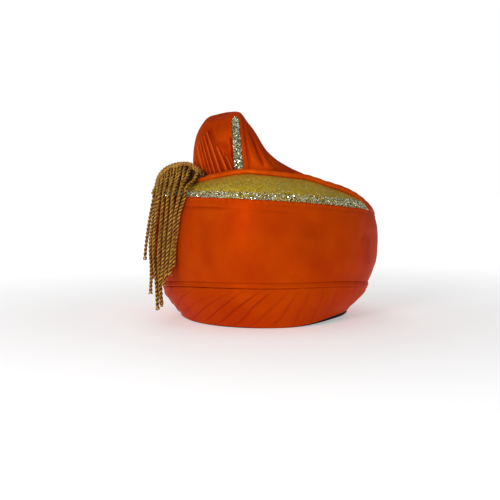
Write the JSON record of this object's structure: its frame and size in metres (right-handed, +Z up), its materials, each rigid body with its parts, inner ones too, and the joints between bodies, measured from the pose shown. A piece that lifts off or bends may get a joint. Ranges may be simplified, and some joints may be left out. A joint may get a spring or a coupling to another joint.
{
  "type": "turban",
  "caption": "Stitched satin turban: pleated lower wrap, plain side band, gold shoulder, pleated hood with a gold stripe, and a hanging cord tassel.",
  "frame": {"origin": "centre of the oval head opening, on the surface that the turban stands on", "axes": "+Z up, -Y towards the front, +X towards the wearer's left side"},
  "size_m": [0.2311, 0.2606, 0.1982],
  "materials": {
    "orange_satin": "satin",
    "gold_lame": "glittering metallic weave",
    "gold_cord": "twisted metallic thread",
    "dark_lining": "matt"
  },
  "bodies": {
    "root": {"head_lining": "dark_lining", "lower_wrap": "orange_satin", "seam_welt": "orange_satin", "side_band": "orange_satin", "gold_shoulder": "gold_lame", "rim_piping": "orange_satin", "crown": "orange_satin", "pleated_hood": "orange_satin", "gold_stripe": "gold_lame", "tassel": "gold_cord"}
  },
  "joints": []
}
